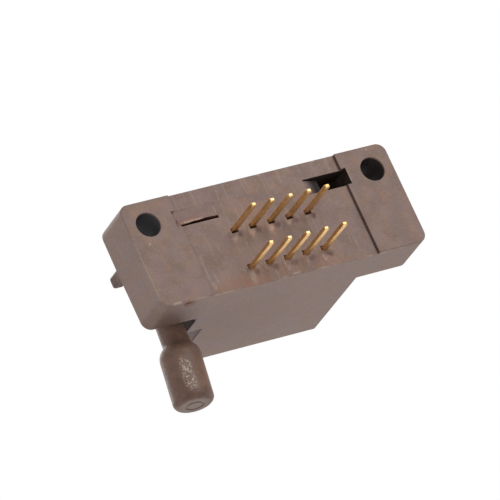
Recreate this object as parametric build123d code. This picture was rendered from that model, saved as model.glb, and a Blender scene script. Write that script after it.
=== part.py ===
from build123d import *
import math
import os

# A lever-operated test socket for a five-lead device, with two contacts to each lead.
# Row frame, in millimetres: the board face is z = 0 and the contact tails point down.
# The origin is midway between the two screw holes. The front face is at -Y and the lever at +X.

# Flange, with two ears that screw to the board
flange_length = 36.9
flange_width = 13.5
flange_thickness = 6.3
flange_corner_radius = 1.2
relief_half_length = 11.55
relief_depth = 0.4
screw_spacing = 31.2
screw_hole_diameter = 3.1
screw_from_back = 3.05

# Body that stands on the flange, cut back above a shoulder where the lever swings past
body_height = 20.0
body_half_length = 11.2
shoulder_height = 10.0
shoulder_inset = 2.15
edge_radius = 0.25
outline_edge_radius = 0.15

# Pocket inside the body, open at the top
floor_top = 4.6
pocket_end_wall = 2.5
pocket_lever_wall = 1.2
pocket_front_wall = 1.35
pocket_back_wall = 2.05

# Contacts, cut and bent from strip
pitch = 2.54
contacts_per_row = 5
row_spacing = 5.08
front_row_from_front = 2.35
strip_thickness = 0.45
tail_length = 6.05
tail_width = 0.6
tail_tip_width = 0.46
tail_tip_length = 0.25
foot_width = 0.87
foot_recess = 0.2
foot_taper = 0.2
blade_width = 1.5
blade_tip_width = 1.0
waist_height = 8.4
waist_offset = 1.55
grip_height = 13.8
grip_offset = 0.62
mouth_height = 16.4
mouth_offset = 1.5
bend_radius = 0.8
slot_side_clearance = 0.03
slot_front_gap = 0.2

# Slots in the board face for the two legs of the cover
leg_slot_inner_x = 6.25
leg_slot_outer_x = 12.15
leg_slot_width = 2.05
leg_slot_from_back = 2.1
leg_slot_depth = 3.3

# Cover, seated in a rebate at the top of the body
cover_thickness = 1.8
rebate_ledge = 0.6
cover_clearance = 0.06
cover_corner_radius = 0.5
entry_width = 1.2
entry_depth = 0.95
funnel_width = 2.0
funnel_depth = 1.9
funnel_height = 0.7
leg_clearance = 0.08
plain_leg_inner_end = 0.55
plain_leg_outer_end = 1.35
fork_thickness = 0.6
fork_half_width = 1.2
fork_end = 7.4

# Wedge pressed into the slot beside the leg on the lever side
wedge_side_gap = 0.02
wedge_front_gap = 0.2
wedge_recess = 0.03
wedge_head_height = 0.9
wedge_chamfer = 0.06

# Lever axis, shaft and cam
axis_height = 8.4
shaft_radius = 1.2
shaft_clearance = 0.05
shaft_end_wall = 1.2
shaft_in_hub = 3.4
cam_half_length = 6.5
cam_thickness = 1.3
groove_from_wall = 1.35
groove_width = 0.8
groove_radius = 0.75
drive_flat_depth = 0.35

# Lever: hub, neck and round handle in one moulding
hub_radius = 1.95
hub_gap = 0.4
hub_length = 4.1
hub_edge_radius = 0.3
neck_root_radius = 1.5
neck_end_radius = 1.72
neck_overrun = 0.6
neck_blend_radius = 0.6
handle_root_from_hub = 0.35
handle_root_from_front = 1.8
handle_angle = 8.2
handle_radius = 2.5
handle_length = 7.9
handle_shoulder_length = 1.7
handle_root_radius = 1.2
handle_rim_radius = 0.8
handle_ring_radius = 1.0
handle_ring_width = 0.25
handle_ring_depth = 0.08

# Small lug under the ear, at the end of the flange
lug_length = 1.4
lug_width = 1.45
lug_height = 2.55
lug_from_front = 7.0
lug_radius = 0.35

# Shallow scar on the front edge of the flange, near the lever
scar_x = 14.7
scar_length = 1.4
scar_height = 0.7
scar_depth = 0.15
scar_from_face = 0.55

# Places that follow from the sizes above
back_y = screw_from_back
front_y = back_y - flange_width
middle_y = (front_y + back_y) / 2
front_row_y = front_y + front_row_from_front
row_offset = row_spacing / 2
axis_y = front_row_y + row_offset
pocket_x0 = pocket_end_wall - body_half_length
shoulder_x = body_half_length - shoulder_inset
pocket_x1 = shoulder_x - pocket_lever_wall
pocket_y0 = front_y + pocket_front_wall
pocket_y1 = back_y - pocket_back_wall
leg_slot_y = back_y - leg_slot_from_back - leg_slot_width / 2
cover_bottom = body_height - cover_thickness
hub_x0 = body_half_length + hub_gap
hub_x1 = hub_x0 + hub_length
hub_middle = (hub_x0 + hub_x1) / 2
handle_root_x = hub_middle + handle_root_from_hub
shaft_start_x = shaft_end_wall - body_half_length
shaft_end_x = hub_x0 + shaft_in_hub
groove_x = pocket_x0 + groove_from_wall
first_x = -pitch * (contacts_per_row - 1) / 2
lead_places = [first_x + pitch * index for index in range(contacts_per_row)]


def block(x0, x1, y0, y1, z0, z1):
    """A rectangular block between two corners."""
    centre = Pos((x0 + x1) / 2, (y0 + y1) / 2, (z0 + z1) / 2)
    return centre * Box(x1 - x0, y1 - y0, z1 - z0)


def shaft_piece(radius, x0, x1):
    """A round length along the lever's axis."""
    centre = Pos((x0 + x1) / 2, axis_y, axis_height)
    return centre * Cylinder(radius, x1 - x0, rotation=(0, 90, 0))


def flange():
    """The flange with rounded corners and its softened outline on the board face."""
    outline = Pos(0, middle_y) * RectangleRounded(flange_length, flange_width, flange_corner_radius)
    plate = extrude(outline, flange_thickness)
    return fillet(plate.faces().sort_by(Axis.Z)[0].edges(), outline_edge_radius)


def body_block():
    """The tall body, drawn from the front and run through the whole width of the flange."""
    outline = Polyline(
        (-body_half_length, relief_depth),
        (body_half_length, relief_depth),
        (body_half_length, shoulder_height),
        (shoulder_x, shoulder_height),
        (shoulder_x, body_height),
        (-body_half_length, body_height),
        close=True,
    )
    front = Plane(origin=(0, front_y, 0), x_dir=(1, 0, 0), z_dir=(0, -1, 0))
    block_body = extrude(front * make_face(outline), -flange_width)
    upright = [e for e in block_body.edges().filter_by(Axis.Z)
               if e.center().Z > shoulder_height or e.center().X < 0]
    rim = block_body.faces().sort_by(Axis.Z)[-1].edges()
    return fillet(upright + rim, edge_radius)


def ear_lug():
    """The small lug under the ear on the lever side, flush with the end of the flange."""
    x1 = flange_length / 2
    y0 = front_y + lug_from_front
    lug = block(x1 - lug_length, x1, y0, y0 + lug_width, flange_thickness - edge_radius,
                flange_thickness + lug_height)
    free_edges = [e for e in lug.edges() if e.center().Z > flange_thickness]
    return fillet(free_edges, lug_radius)


def pocket():
    """The space for the contacts and the cam, with the rebate that seats the cover."""
    room = block(pocket_x0, pocket_x1, pocket_y0, pocket_y1, floor_top, body_height)
    rebate = extrude(
        Pos((pocket_x0 + pocket_x1) / 2, (pocket_y0 + pocket_y1) / 2, cover_bottom)
        * RectangleRounded(pocket_x1 - pocket_x0 + 2 * rebate_ledge,
                           pocket_y1 - pocket_y0 + 2 * rebate_ledge,
                           cover_corner_radius),
        cover_thickness,
    )
    return room + rebate


def leg_slot(side):
    """One slot in the board face, blind under the ear and open into the pocket."""
    y0 = leg_slot_y - leg_slot_width / 2
    y1 = leg_slot_y + leg_slot_width / 2
    pocket_x = pocket_x1 if side > 0 else -pocket_x0
    ends = sorted((side * leg_slot_inner_x, side * leg_slot_outer_x))
    through = sorted((side * leg_slot_inner_x, side * pocket_x))
    mouth = block(ends[0], ends[1], y0, y1, 0, leg_slot_depth)
    passage = block(through[0], through[1], y0, y1, 0, floor_top)
    return mouth + passage


def edge_scar():
    """The shallow scoop left in the front face of the flange, just above the board face."""
    radius = (scar_length ** 2 / 4 + scar_depth ** 2) / (2 * scar_depth)
    centre = Pos(scar_x, front_y + scar_depth - radius, scar_from_face)
    return centre * Cylinder(radius, scar_height)


def contact_slot(x, side):
    """The slot that holds one contact, with a gap on the side of the lead."""
    outer = axis_y + side * (row_offset + strip_thickness / 2)
    inner = axis_y + side * (row_offset - strip_thickness / 2 - slot_front_gap)
    half = foot_width / 2 + slot_side_clearance
    return block(x - half, x + half, min(outer, inner), max(outer, inner), 0, floor_top)


def housing():
    """Flange and body in one moulding, with its holes, slots and shaft bearings."""
    shell = flange() + body_block() + ear_lug()
    shell -= block(-relief_half_length, relief_half_length, front_y, back_y, 0, relief_depth)
    shell -= pocket()
    shell -= edge_scar()
    for side in (-1, 1):
        hole = Pos(side * screw_spacing / 2, 0, flange_thickness / 2)
        shell -= hole * Cylinder(screw_hole_diameter / 2, flange_thickness)
        shell -= leg_slot(side)
        for x in lead_places:
            shell -= contact_slot(x, side)
    bore = shaft_radius + shaft_clearance
    shell -= shaft_piece(bore, shaft_start_x - shaft_clearance, body_half_length)
    return shell


def contact_outline():
    """A contact's flat blank: tail, blade, and the foot with its shoulders just inside the slot."""
    foot_bottom = relief_depth + foot_recess
    right = [
        (tail_tip_width / 2, -tail_length),
        (tail_width / 2, -tail_length + tail_tip_length),
        (tail_width / 2, foot_bottom - foot_taper),
        (foot_width / 2, foot_bottom),
        (foot_width / 2, floor_top),
        (blade_width / 2, floor_top),
        (blade_width / 2, waist_height),
        (blade_tip_width / 2, grip_height),
        (blade_tip_width / 2, mouth_height + strip_thickness),
    ]
    left = [(-x, z) for x, z in reversed(right)]
    return make_face(Polyline(*right, *left, close=True))


def contact(x, side):
    """A contact: its blank cut through the bent strip, for the row on one side of the leads."""
    strip_line = FilletPolyline(
        (row_offset, -tail_length),
        (row_offset, floor_top + bend_radius),
        (waist_offset, waist_height),
        (grip_offset, grip_height),
        (mouth_offset, mouth_height),
        radius=bend_radius,
    )
    profile = Plane(origin=(x, axis_y, 0), x_dir=(0, side, 0), z_dir=(side, 0, 0))
    strip = extrude(profile * trace(strip_line, strip_thickness), blade_width, both=True)
    front = Plane(origin=(x, axis_y, 0), x_dir=(1, 0, 0), z_dir=(0, -1, 0))
    blank = extrude(front * contact_outline(), row_spacing, both=True)
    return (strip & blank).solids()[0]


def lead_entry(x):
    """A funnel through the cover that guides one lead between its two contacts."""
    straight = block(x - entry_width / 2, x + entry_width / 2,
                     axis_y - entry_depth / 2, axis_y + entry_depth / 2,
                     cover_bottom, body_height)
    wide = Pos(x, axis_y, body_height) * Rectangle(funnel_width, funnel_depth)
    narrow = Pos(x, axis_y, body_height - funnel_height) * Rectangle(entry_width, entry_depth)
    return straight + loft([narrow, wide])


def shaft_fork():
    """The fork under the cover that drops over the shaft's groove and keeps it from sliding out."""
    fork = block(groove_x - fork_thickness / 2, groove_x + fork_thickness / 2,
                 axis_y - fork_half_width, axis_y + fork_half_width, fork_end, cover_bottom)
    gap = groove_radius + shaft_clearance
    fork -= shaft_piece(gap, groove_x - fork_thickness, groove_x + fork_thickness)
    return fork - block(groove_x - fork_thickness, groove_x + fork_thickness,
                        axis_y - gap, axis_y + gap, fork_end, axis_height)


def plain_leg(y0, y1):
    """The leg on the far side, which reaches nearly through its slot and has a slanted end."""
    outer = pocket_x0 + leg_clearance
    inner = -leg_slot_inner_x - leg_clearance
    outline = Polyline(
        (outer, plain_leg_outer_end),
        (inner, plain_leg_inner_end),
        (inner, cover_bottom),
        (outer, cover_bottom),
        close=True,
    )
    front = Plane(origin=(0, y0, 0), x_dir=(1, 0, 0), z_dir=(0, -1, 0))
    return extrude(front * make_face(outline), y0 - y1)


def top_cover():
    """The cover with its lead entries, its two legs and the fork for the shaft."""
    outline = RectangleRounded(pocket_x1 - pocket_x0 + 2 * (rebate_ledge - cover_clearance),
                               pocket_y1 - pocket_y0 + 2 * (rebate_ledge - cover_clearance),
                               cover_corner_radius)
    centre = Pos((pocket_x0 + pocket_x1) / 2, (pocket_y0 + pocket_y1) / 2, cover_bottom)
    cover = extrude(centre * outline, cover_thickness)
    for x in lead_places:
        cover -= lead_entry(x)
    y0 = leg_slot_y - leg_slot_width / 2 + leg_clearance
    y1 = leg_slot_y + leg_slot_width / 2 - leg_clearance
    cover += plain_leg(y0, y1)
    cover += block(leg_slot_inner_x + leg_clearance, pocket_x1 - leg_clearance, y0, y1,
                   leg_slot_depth + leg_clearance, cover_bottom)
    return cover + shaft_fork()


def retaining_wedge():
    """The wedge in the slot on the lever side: a head nearly flush with the board face."""
    y0 = leg_slot_y - leg_slot_width / 2 + wedge_front_gap
    y1 = leg_slot_y + leg_slot_width / 2 - wedge_side_gap
    x0 = leg_slot_inner_x + wedge_side_gap
    x1 = leg_slot_outer_x - wedge_side_gap
    low = relief_depth + wedge_recess
    head = block(x0, x1, y0, y1, low, low + wedge_head_height)
    stem = block(pocket_x1 + leg_clearance, x1, y0, y1, low, leg_slot_depth)
    wedge = head + stem
    return chamfer(wedge.faces().sort_by(Axis.Z)[0].edges(), wedge_chamfer)


def drive_end(radius, x0, x1):
    """The shaft's driving end, or the bore for it: round with one flat."""
    flat = axis_y + shaft_radius - drive_flat_depth + (radius - shaft_radius)
    return shaft_piece(radius, x0, x1) - block(x0, x1, flat, flat + radius,
                                              axis_height - radius, axis_height + radius)


def cam_shaft():
    """The shaft between the two contact rows, with its flattened cam, groove and driving end."""
    shaft = shaft_piece(shaft_radius, shaft_start_x, hub_x0)
    shaft += drive_end(shaft_radius, hub_x0, shaft_end_x)
    for side in (-1, 1):
        flat = sorted((axis_y + side * cam_thickness / 2, axis_y + side * shaft_radius))
        shaft -= block(-cam_half_length, cam_half_length, flat[0], flat[1],
                       axis_height - shaft_radius, axis_height + shaft_radius)
    groove = [groove_x - groove_width / 2, groove_x + groove_width / 2]
    ring = shaft_piece(shaft_radius, *groove) - shaft_piece(groove_radius, *groove)
    return shaft - ring


def handle_profile():
    """Half of the handle's section: shoulder, straight grip, rounded rim and a ring in the end."""
    shoulder_depth = handle_radius - handle_root_radius
    shoulder_radius = (shoulder_depth ** 2 + handle_shoulder_length ** 2) / (2 * shoulder_depth)
    shoulder_angle = math.degrees(math.asin(handle_shoulder_length / shoulder_radius))
    ring_in = handle_ring_radius - handle_ring_width / 2
    ring_out = handle_ring_radius + handle_ring_width / 2
    shoulder = CenterArc((handle_radius - shoulder_radius, handle_shoulder_length),
                         shoulder_radius, -shoulder_angle, shoulder_angle)
    grip = Line((handle_radius, handle_shoulder_length),
                (handle_radius, handle_length - handle_rim_radius))
    rim = CenterArc((handle_radius - handle_rim_radius, handle_length - handle_rim_radius),
                    handle_rim_radius, 0, 90)
    end = Polyline(
        (handle_radius - handle_rim_radius, handle_length),
        (ring_out, handle_length),
        (ring_out, handle_length - handle_ring_depth),
        (ring_in, handle_length - handle_ring_depth),
        (ring_in, handle_length),
        (0, handle_length),
        (0, 0),
        (handle_root_radius, 0),
    )
    return make_face(Curve() + [shoulder, grip, rim, end])


def lever():
    """Hub, neck and handle: the neck runs to the front and the handle leans outwards."""
    hub = shaft_piece(hub_radius, hub_x0, hub_x1)
    hub = fillet(hub.edges().filter_by(GeomType.CIRCLE), hub_edge_radius)
    root_y = front_y - handle_root_from_front
    reach = Vector(handle_root_from_hub, root_y - neck_overrun - axis_y, 0)
    neck_plane = Plane(origin=(hub_middle, axis_y, axis_height), x_dir=(0, 0, 1), z_dir=reach)
    neck = neck_plane * Cone(neck_root_radius, neck_end_radius, reach.length,
                             align=(Align.CENTER, Align.CENTER, Align.MIN))
    lean = math.radians(handle_angle)
    handle_plane = Plane(
        origin=(handle_root_x, root_y, axis_height),
        x_dir=(math.cos(lean), math.sin(lean), 0),
        z_dir=(0, 0, -1),
    )
    handle_axis = Axis((handle_root_x, root_y, axis_height), (math.sin(lean), -math.cos(lean), 0))
    handle = revolve(handle_plane * handle_profile(), handle_axis)
    arm = neck + handle
    arm = fillet(new_edges(neck, handle, combined=arm), neck_blend_radius)
    bore = shaft_radius + shaft_clearance / 2
    socket = drive_end(bore, hub_x0, shaft_end_x + shaft_clearance)
    return hub + arm - socket


def parts():
    """Every sub-part by its node name."""
    nodes = {
        "housing": housing(),
        "top_cover": top_cover(),
        "retaining_wedge": retaining_wedge(),
        "cam_shaft": cam_shaft(),
        "lever": lever(),
    }
    for number, x in enumerate(lead_places, start=1):
        nodes[f"front_contact_{number}"] = contact(x, -1)
        nodes[f"rear_contact_{number}"] = contact(x, 1)
    return nodes


os.makedirs("parts", exist_ok=True)
for name, solid in parts().items():
    export_step(solid, f"parts/{name}.step")
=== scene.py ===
"""Looks of a lever-operated socket with ten gold contacts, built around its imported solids."""
import logging
import math
from dataclasses import dataclass, field
from enum import Enum
from typing import Any, Callable, Sequence

import bpy
from mathutils import Matrix, Vector, noise


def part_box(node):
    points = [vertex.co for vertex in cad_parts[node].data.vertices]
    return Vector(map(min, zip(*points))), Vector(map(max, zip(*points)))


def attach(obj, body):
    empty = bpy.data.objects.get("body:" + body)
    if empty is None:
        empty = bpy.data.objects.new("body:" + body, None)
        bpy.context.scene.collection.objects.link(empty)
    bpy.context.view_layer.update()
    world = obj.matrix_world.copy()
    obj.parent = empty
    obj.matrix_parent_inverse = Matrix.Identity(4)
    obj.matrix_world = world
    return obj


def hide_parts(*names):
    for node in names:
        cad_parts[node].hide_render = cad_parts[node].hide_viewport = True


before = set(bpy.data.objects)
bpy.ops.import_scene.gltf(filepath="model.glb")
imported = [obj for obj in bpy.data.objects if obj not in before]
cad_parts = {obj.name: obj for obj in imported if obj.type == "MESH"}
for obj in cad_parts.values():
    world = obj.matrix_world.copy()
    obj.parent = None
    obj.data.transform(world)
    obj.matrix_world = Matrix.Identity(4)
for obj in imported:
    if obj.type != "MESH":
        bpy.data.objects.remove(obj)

MM = 0.001
# The middle value of a noise texture
MIDDLE = 0.5
# The least part of a face's normal along an axis, for the face to count as looking that way
FACING = 0.9
log = logging.getLogger("socket")

Colour = tuple[float, float, float]
Place = tuple[float, float, float]
Span = tuple[float, float]
Socket = bpy.types.NodeSocket
Value = Socket | float | Sequence[float]


class Slot(Enum):
    """The record's material slots."""

    HOUSING = "housing_plastic"
    COVER = "cover_plastic"
    LEVER = "lever_plastic"
    SHAFT = "shaft_steel"
    CONTACT = "gold_contact"


class Row(Enum):
    """The two rows of contacts, with the side of the leads that each is on."""

    FRONT = -1
    REAR = 1


class Tone(Enum):
    """What a mark does to the plastic that it lies on: some tones are wear and stains, others painted
    light and shade.
    """

    # Wear on most marks, and painted light on some: highlights on edges and light laid over shadows
    LIGHT = "rubbed bare and pale"
    # Painted shadow: thin dark lines under a lip or beside an edge
    DARK = "filled with dirt"
    # Grime on a few marks, painted shade on most: on the lever, beside it, on the nub and beside the tails
    GRIME_AND_SHADE = "dulled by grime"
    WARM = "stained"
    # Painted glints: bright specks of a highlight
    PAINTED_GLINTS = "polished in fine bright specks"
    # Painted reflection of the gold tails on the face
    PAINTED_REFLECTION = "coated with a pale smear"


@dataclass(frozen=True)
class Grid:
    """The grid of the contacts in millimetres, with the line of the leads between its two rows."""

    pitch: float = 2.54
    per_row: int = 5
    row_spacing: float = 5.08
    lead_y: float = -5.56


GRID = Grid()


def linear(colour: Colour) -> tuple[float, float, float, float]:
    """Turn a colour written in sRGB bytes into the linear colour of a shader socket.

    Args:
        colour: Red, green and blue from 0 to 255.

    Returns:
        The linear red, green and blue, with an alpha of 1.
    """
    channels = []
    for value in colour:
        share = value / 255
        low = share / 12.92
        high = ((share + 0.055) / 1.055) ** 2.4
        channels.append(low if share <= 0.04045 else high)
    return (*channels, 1.0)


class Sketch:
    """A short way to add nodes to a tree and join them."""

    def __init__(self, tree: bpy.types.NodeTree) -> None:
        """Keep the tree that the nodes go into.

        Args:
            tree: A material's or a group's node tree.
        """
        self.tree = tree

    def node(self, kind: str, inputs: dict | None = None, **settings: Any) -> bpy.types.Node:
        """Add a node, set its properties and fill its inputs.

        Args:
            kind: The node's type name.
            inputs: Values or output sockets, by input name or number.
            settings: Properties of the node.

        Returns:
            The new node.
        """
        made = self.tree.nodes.new(kind)
        for name, value in settings.items():
            setattr(made, name, value)
        for key, value in (inputs or {}).items():
            self.feed(made.inputs[key], value)
        return made

    def feed(self, socket: Socket, value: Value) -> None:
        """Link an output to a socket, or set the socket's own value.

        Args:
            socket: An input of a node.
            value: An output socket, or a plain value.
        """
        if isinstance(value, Socket):
            self.tree.links.new(value, socket)
        else:
            socket.default_value = value

    def math(self, operation: str, *values: Value, clamp: bool = False) -> Socket:
        """Add a Math node over one to three values and give its output."""
        inputs = dict(enumerate(values))
        return self.node("ShaderNodeMath", inputs, operation=operation, use_clamp=clamp).outputs[0]

    def product(self, *values: Value) -> Socket:
        """Multiply two or more values.

        Args:
            values: The values, of which at least one is a socket.

        Returns:
            Their product.
        """
        result = values[0]
        for value in values[1:]:
            result = self.math("MULTIPLY", result, value)
        return result

    def ramp(self, value: Value, zero_at: Value, one_at: Value) -> Socket:
        """Rise smoothly from 0 to 1 between two values, whichever is larger, and hold outside them."""
        inputs = {"Value": value, "From Min": zero_at, "From Max": one_at}
        return self.node("ShaderNodeMapRange", inputs, interpolation_type="SMOOTHSTEP").outputs["Result"]

    def mix(self, factor: Value, first: Value, second: Value) -> Socket:
        """Mix two colours.

        Args:
            factor: 0 for the first colour alone, 1 for the second.
            first: The first colour.
            second: The second colour.

        Returns:
            The mixed colour.
        """
        made = self.node("ShaderNodeMix", data_type="RGBA")
        colours = [socket for socket in made.inputs if socket.type == "RGBA"]
        self.feed(made.inputs["Factor"], factor)
        self.feed(colours[0], first)
        self.feed(colours[1], second)
        return next(socket for socket in made.outputs if socket.type == "RGBA")

    def noise(self, vector: Socket, scale: Value, detail: float = 2.0) -> Socket:
        """Add a noise texture and give its value."""
        inputs = {"Vector": vector, "Scale": scale, "Detail": detail}
        return self.node("ShaderNodeTexNoise", inputs).outputs["Fac"]

    def vector(self, operation: str, *values: Value) -> bpy.types.Node:
        """Add a Vector Math node over one or two vectors."""
        return self.node("ShaderNodeVectorMath", dict(enumerate(values)), operation=operation)

    def split(self, vector: Socket) -> list[Socket]:
        """Give a vector's three parts."""
        return list(self.node("ShaderNodeSeparateXYZ", {0: vector}).outputs)

    def join(self, x: Value, y: Value, z: Value) -> Socket:
        """Make a vector of three parts."""
        return self.node("ShaderNodeCombineXYZ", {0: x, 1: y, 2: z}).outputs[0]


class SharedGroup:
    """A shader node group with named inputs, built once and placed in several materials."""

    def __init__(self, name: str, inputs: dict[str, float | Place], outputs: Sequence[str]) -> None:
        """Make the group's tree with a point in millimetres and its other sockets.

        Args:
            name: The group's name.
            inputs: Default of each input, a number or three, by name.
            outputs: The names of its outputs, all of them values.
        """
        self.tree = bpy.data.node_groups.new(name, "ShaderNodeTree")
        self.tree.interface.new_socket("Point", in_out="INPUT", socket_type="NodeSocketVector")
        for label, default in inputs.items():
            kind = "NodeSocketVector" if isinstance(default, tuple) else "NodeSocketFloat"
            socket = self.tree.interface.new_socket(label, in_out="INPUT", socket_type=kind)
            socket.default_value = default
        for label in outputs:
            self.tree.interface.new_socket(label, in_out="OUTPUT", socket_type="NodeSocketFloat")
        self.start = self.tree.nodes.new("NodeGroupInput").outputs
        self.end = self.tree.nodes.new("NodeGroupOutput").inputs
        self.sketch = Sketch(self.tree)

    def finish(self, **results: Socket) -> "SharedGroup":
        """Link the group's results to its outputs.

        Args:
            results: The results, by the name of the output.

        Returns:
            The group itself.
        """
        for name, value in results.items():
            self.sketch.feed(self.end[name], value)
        return self

    def place(self, sketch: Sketch, point: Socket, **inputs: Value) -> bpy.types.NodeOutputs:
        """Place the group in a material.

        Args:
            sketch: The material's sketch.
            point: The coordinate socket in millimetres.
            inputs: Values of the group's other inputs, with _ for a space.

        Returns:
            The outputs of the placed group.
        """
        made = sketch.node("ShaderNodeGroup", node_tree=self.tree)
        sketch.feed(made.inputs["Point"], point)
        for name, value in inputs.items():
            sketch.feed(made.inputs[name.replace("_", " ")], value)
        return made.outputs


def moulded_grain() -> SharedGroup:
    """Build the grain of a moulded or plated skin: fine grain, broad mottle and a height for bump.

    Returns:
        The shared group.
    """
    inputs = {"Grain per mm": 4.0, "Mottle per mm": 0.35, "Mottle height": 0.5}
    group = SharedGroup("moulded_grain", inputs, ("Grain", "Mottle", "Height"))
    sketch, start = group.sketch, group.start
    grain = sketch.noise(start["Point"], start["Grain per mm"], detail=3.0)
    mottle = sketch.noise(start["Point"], start["Mottle per mm"], detail=4.0)
    height = sketch.math("MULTIPLY_ADD", mottle, start["Mottle height"], grain)
    return group.finish(Grain=grain, Mottle=mottle, Height=height)


def y_scratches() -> SharedGroup:
    """Build fine straight scratches that run along Y.

    Returns:
        The shared group, whose Mask is 1 in a scratch.
    """
    inputs = {"Lines per mm": 2.2, "Stretch": 14.0, "Rarity": 0.56, "Soft": 0.12}
    group = SharedGroup("y_scratches", inputs, ("Mask",))
    sketch, start = group.sketch, group.start
    x, y, z = sketch.split(start["Point"])
    point = sketch.join(x, sketch.math("DIVIDE", y, start["Stretch"]), z)
    lines = sketch.noise(point, start["Lines per mm"], detail=3.0)
    rare = start["Rarity"]
    return group.finish(Mask=sketch.ramp(lines, rare, sketch.math("ADD", rare, start["Soft"])))


def edge_wear() -> SharedGroup:
    """Build the ragged light band that wear leaves along an edge.

    Returns:
        The shared group, whose Mask is 1 on the worn edge.
    """
    inputs = {"Distance": 1.0, "Width": 0.15, "Ragged per mm": 5.0, "Patches per mm": 0.9,
              "Patchiness": 0.5, "Soft": 0.12}
    group = SharedGroup("edge_wear", inputs, ("Mask",))
    sketch, start = group.sketch, group.start
    ragged = sketch.noise(start["Point"], start["Ragged per mm"], detail=3.0)
    reach = sketch.product(start["Width"], ragged, 1 / MIDDLE)
    near = sketch.math("SUBTRACT", 1.0, sketch.math("DIVIDE", start["Distance"], reach), clamp=True)
    patches = sketch.noise(start["Point"], start["Patches per mm"], detail=4.0)
    some = start["Patchiness"]
    there = sketch.ramp(patches, some, sketch.math("ADD", some, start["Soft"]))
    return group.finish(Mask=sketch.product(near, there))


def ragged_oval() -> SharedGroup:
    """Build one oval mark with a ragged outline.

    Returns:
        The shared group, whose Mask is 1 in the middle of the mark.
    """
    inputs = {"Centre": (0.0, 0.0, 0.0), "Half": (1.0, 1.0, 1.0), "Soft": 0.3, "Ragged": 0.5,
              "Ragged per mm": 3.0}
    group = SharedGroup("ragged_oval", inputs, ("Mask",))
    sketch, start = group.sketch, group.start
    offset = sketch.vector("SUBTRACT", start["Point"], start["Centre"]).outputs[0]
    share = sketch.vector("DIVIDE", offset, start["Half"]).outputs[0]
    reach = sketch.vector("LENGTH", share).outputs["Value"]
    uneven = sketch.noise(start["Point"], start["Ragged per mm"], detail=3.0)
    wobble = sketch.math("SUBTRACT", uneven, MIDDLE)
    reach = sketch.math("ADD", reach, sketch.product(wobble, start["Ragged"], 1 / MIDDLE))
    outer = sketch.math("ADD", 1.0, start["Soft"])
    inner = sketch.math("SUBTRACT", 1.0, start["Soft"])
    return group.finish(Mask=sketch.ramp(reach, outer, inner))


def box_zone() -> SharedGroup:
    """Build a rectangular zone with a soft border.

    Returns:
        The shared group, whose Mask is 1 inside the box.
    """
    inputs = {"Low": (0.0, 0.0, 0.0), "High": (1.0, 1.0, 1.0), "Soft": 0.1}
    group = SharedGroup("box_zone", inputs, ("Mask",))
    sketch, start = group.sketch, group.start
    below = sketch.vector("SUBTRACT", start["Low"], start["Point"]).outputs[0]
    above = sketch.vector("SUBTRACT", start["Point"], start["High"]).outputs[0]
    outside = sketch.split(sketch.vector("MAXIMUM", below, above).outputs[0])
    farthest = sketch.math("MAXIMUM", sketch.math("MAXIMUM", outside[0], outside[1]), outside[2])
    return group.finish(Mask=sketch.ramp(farthest, start["Soft"], 0.0))


@dataclass
class Groups:
    """The node groups that the materials share."""

    grain: SharedGroup = field(default_factory=moulded_grain)
    scratches: SharedGroup = field(default_factory=y_scratches)
    wear: SharedGroup = field(default_factory=edge_wear)
    spot: SharedGroup = field(default_factory=ragged_oval)
    zone: SharedGroup = field(default_factory=box_zone)


@dataclass(frozen=True)
class Box:
    """A box in the part's frame, in millimetres."""

    low: Place
    high: Place

    def holds(self, place: Vector) -> bool:
        """Tell whether a place in metres is inside the box."""
        inside = [low <= value / MM <= high for low, value, high in zip(self.low, place, self.high)]
        return all(inside)


@dataclass(frozen=True)
class ShadedZone(Box):
    """A zone, mostly a recess, whose walls are painted with shade: how dark, and how softly the dark
    begins.
    """

    soft: float = 0.15
    strength: float = 0.88


@dataclass(frozen=True)
class Mark:
    """An oval mark on a moulding: its kind, its place and half sizes in millimetres, and its strength."""

    tone: Tone
    centre: Place
    half: Place
    strength: float
    soft: float = 0.3
    ragged: float = 0.5


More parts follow.
